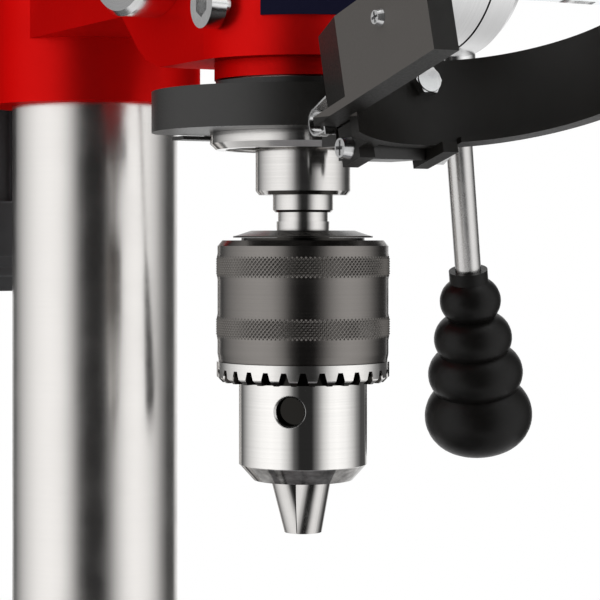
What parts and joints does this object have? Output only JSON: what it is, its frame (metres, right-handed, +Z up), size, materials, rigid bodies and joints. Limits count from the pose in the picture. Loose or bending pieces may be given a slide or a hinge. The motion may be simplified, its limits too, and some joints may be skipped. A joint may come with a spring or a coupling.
{
  "type": "pillar drill",
  "caption": "Bench pillar drill with key chuck, rack-fed quill, flip-up chuck guard, stepped belt drive, motor and tilting table on a round column.",
  "frame": {"origin": "column axis at the base's underside", "axes": "+Z up along the column, -Y towards the operator with the spindle, +X to the operator's right"},
  "size_m": [0.2316, 0.5123, 0.7887],
  "materials": {
    "base_paint": "satin",
    "red_paint": "gloss",
    "column_steel": "brushed",
    "steel": "turned",
    "chrome": "polished",
    "dark_steel": "ground",
    "black_plastic": "satin",
    "black_gloss": "gloss",
    "black_oxide": "blackened",
    "plate": "satin",
    "alloy": "cast",
    "belt_rubber": "matte",
    "clear": "clear",
    "green": "satin",
    "red_button": "satin",
    "cast": "machined"
  },
  "bodies": {
    "frame": {"base": "base_paint", "column_flange": "base_paint", "flange_bolts": "chrome", "column": "column_steel", "head": "red_paint", "head_screws": "dark_steel", "front_plate": "plate", "spring_cap": "steel", "return_spring": "dark_steel", "quill_lock": "chrome", "belt_tray": "base_paint", "tray_screws": "chrome", "lid_pin": "steel", "pulley_bearing": "dark_steel", "switch_box": "black_plastic"},
    "quill": {"quill": "steel", "quill_ring": "steel", "quill_bearings": "dark_steel", "guard_collar": "black_plastic", "collar_screw": "chrome", "guard_pin": "chrome"},
    "spindle": {"spindle": "steel", "arbor": "steel", "chuck_body": "steel", "chuck_cap": "black_oxide"},
    "sleeve": {"chuck_sleeve": "black_oxide", "tooth_ring": "steel", "chuck_nut": "dark_steel"},
    "jaw_a": {"jaw_a": "steel"},
    "jaw_b": {"jaw_b": "steel"},
    "jaw_c": {"jaw_c": "steel"},
    "feed": {"feed_shaft": "dark_steel", "feed_hub": "chrome", "lever_rods": "steel", "lever_knobs": "black_gloss"},
    "depth": {"depth_ring": "chrome", "depth_screw": "black_plastic"},
    "guard": {"guard_holder": "black_plastic", "guard_screen": "clear", "guard_screws": "chrome", "guard_clip": "steel"},
    "pulley": {"spindle_pulley": "alloy"},
    "motor": {"motor": "base_paint", "motor_plate": "base_paint", "slide_bars": "steel", "motor_bolts": "chrome", "belt": "belt_rubber"},
    "rotor": {"motor_shaft": "steel", "motor_pulley": "alloy"},
    "tension_knob": {"tension_knob": "black_plastic"},
    "lid": {"lid": "base_paint", "lid_knob": "black_plastic"},
    "bracket": {"table_bracket": "base_paint", "tilt_bolt": "chrome"},
    "clamp_lever": {"clamp_lever": "black_plastic"},
    "table": {"table": "cast"},
    "button_on": {"button_on": "green"},
    "button_off": {"button_off": "red_button"}
  },
  "joints": [
    {"name": "quill_feed", "type": "slide", "parent": "frame", "child": "quill", "axis": [0, 0, -1], "range_m": [0, 0.06], "stiffness_N_per_m": 300, "springref_m": -0.3},
    {"name": "feed_turn", "type": "hinge", "parent": "frame", "child": "feed", "pos_m": [0, -0.124, 0.59], "axis": [1, 0, 0], "range_deg": [0, 327.5]},
    {"name": "depth_set", "type": "hinge", "parent": "feed", "child": "depth", "pos_m": [0, -0.124, 0.59], "axis": [1, 0, 0], "continuous": true},
    {"name": "motor_spin", "type": "hinge", "parent": "motor", "child": "rotor", "pos_m": [0, 0.14, 0.6], "axis": [0, 0, 1], "continuous": true},
    {"name": "spindle_spin", "type": "hinge", "parent": "quill", "child": "spindle", "pos_m": [0, -0.156, 0.495], "axis": [0, 0, 1], "continuous": true},
    {"name": "pulley_spin", "type": "hinge", "parent": "frame", "child": "pulley", "pos_m": [0, -0.156, 0.7], "axis": [0, 0, 1], "continuous": true},
    {"name": "chuck_turn", "type": "hinge", "parent": "spindle", "child": "sleeve", "pos_m": [0, -0.156, 0.48], "axis": [0, 0, 1], "range_deg": [0, 3420]},
    {"name": "jaw_a_slide", "type": "slide", "parent": "spindle", "child": "jaw_a", "axis": [0.0521, -0.2449, 0.9681], "range_m": [0, 0.0191]},
    {"name": "jaw_b_slide", "type": "slide", "parent": "spindle", "child": "jaw_b", "axis": [0.1861, 0.1675, 0.9681], "range_m": [0, 0.0191]},
    {"name": "jaw_c_slide", "type": "slide", "parent": "spindle", "child": "jaw_c", "axis": [-0.2381, 0.0774, 0.9681], "range_m": [0, 0.0191]},
    {"name": "guard_flip", "type": "hinge", "parent": "quill", "child": "guard", "pos_m": [0, -0.2064, 0.5198], "axis": [1, 0, 0], "range_deg": [0, 100]},
    {"name": "belt_tension", "type": "slide", "parent": "frame", "child": "motor", "axis": [0, 1, 0], "range_m": [-0.01, 0]},
    {"name": "tension_lock", "type": "hinge", "parent": "frame", "child": "tension_knob", "pos_m": [-0.0596, -0.03, 0.64], "axis": [-1, 0, 0], "range_deg": [-180, 180]},
    {"name": "lid_open", "type": "hinge", "parent": "frame", "child": "lid", "pos_m": [-0.0785, 0, 0.7123], "axis": [0, -1, 0], "range_deg": [0, 100]},
    {"name": "table_lift", "type": "slide", "parent": "frame", "child": "bracket", "axis": [0, 0, 1], "range_m": [-0.07, 0.03]},
    {"name": "table_tilt", "type": "hinge", "parent": "bracket", "child": "table", "pos_m": [0, -0.062, 0.216], "axis": [0, 1, 0], "range_deg": [-45, 45]},
    {"name": "clamp_turn", "type": "hinge", "parent": "bracket", "child": "clamp_lever", "pos_m": [0.0163, 0.055, 0.216], "axis": [1, 0, 0], "range_deg": [-35, 35]},
    {"name": "on_press", "type": "slide", "parent": "frame", "child": "button_on", "axis": [0, 1, 0], "range_m": [0, 0.002], "stiffness_N_per_m": 300, "springref_m": -0.003},
    {"name": "off_press", "type": "slide", "parent": "frame", "child": "button_off", "axis": [0, 1, 0], "range_m": [0, 0.002], "stiffness_N_per_m": 300, "springref_m": -0.003}
  ],
  "couplings": [
    {"joint": "feed_turn", "follows": "quill_feed", "rad_per_m": 95.238},
    {"joint": "spindle_spin", "follows": "motor_spin", "ratio": 1},
    {"joint": "pulley_spin", "follows": "motor_spin", "ratio": 1},
    {"joint": "jaw_a_slide", "follows": "chuck_turn", "m_per_rad": 0.00031831},
    {"joint": "jaw_b_slide", "follows": "chuck_turn", "m_per_rad": 0.00031831},
    {"joint": "jaw_c_slide", "follows": "chuck_turn", "m_per_rad": 0.00031831}
  ]
}
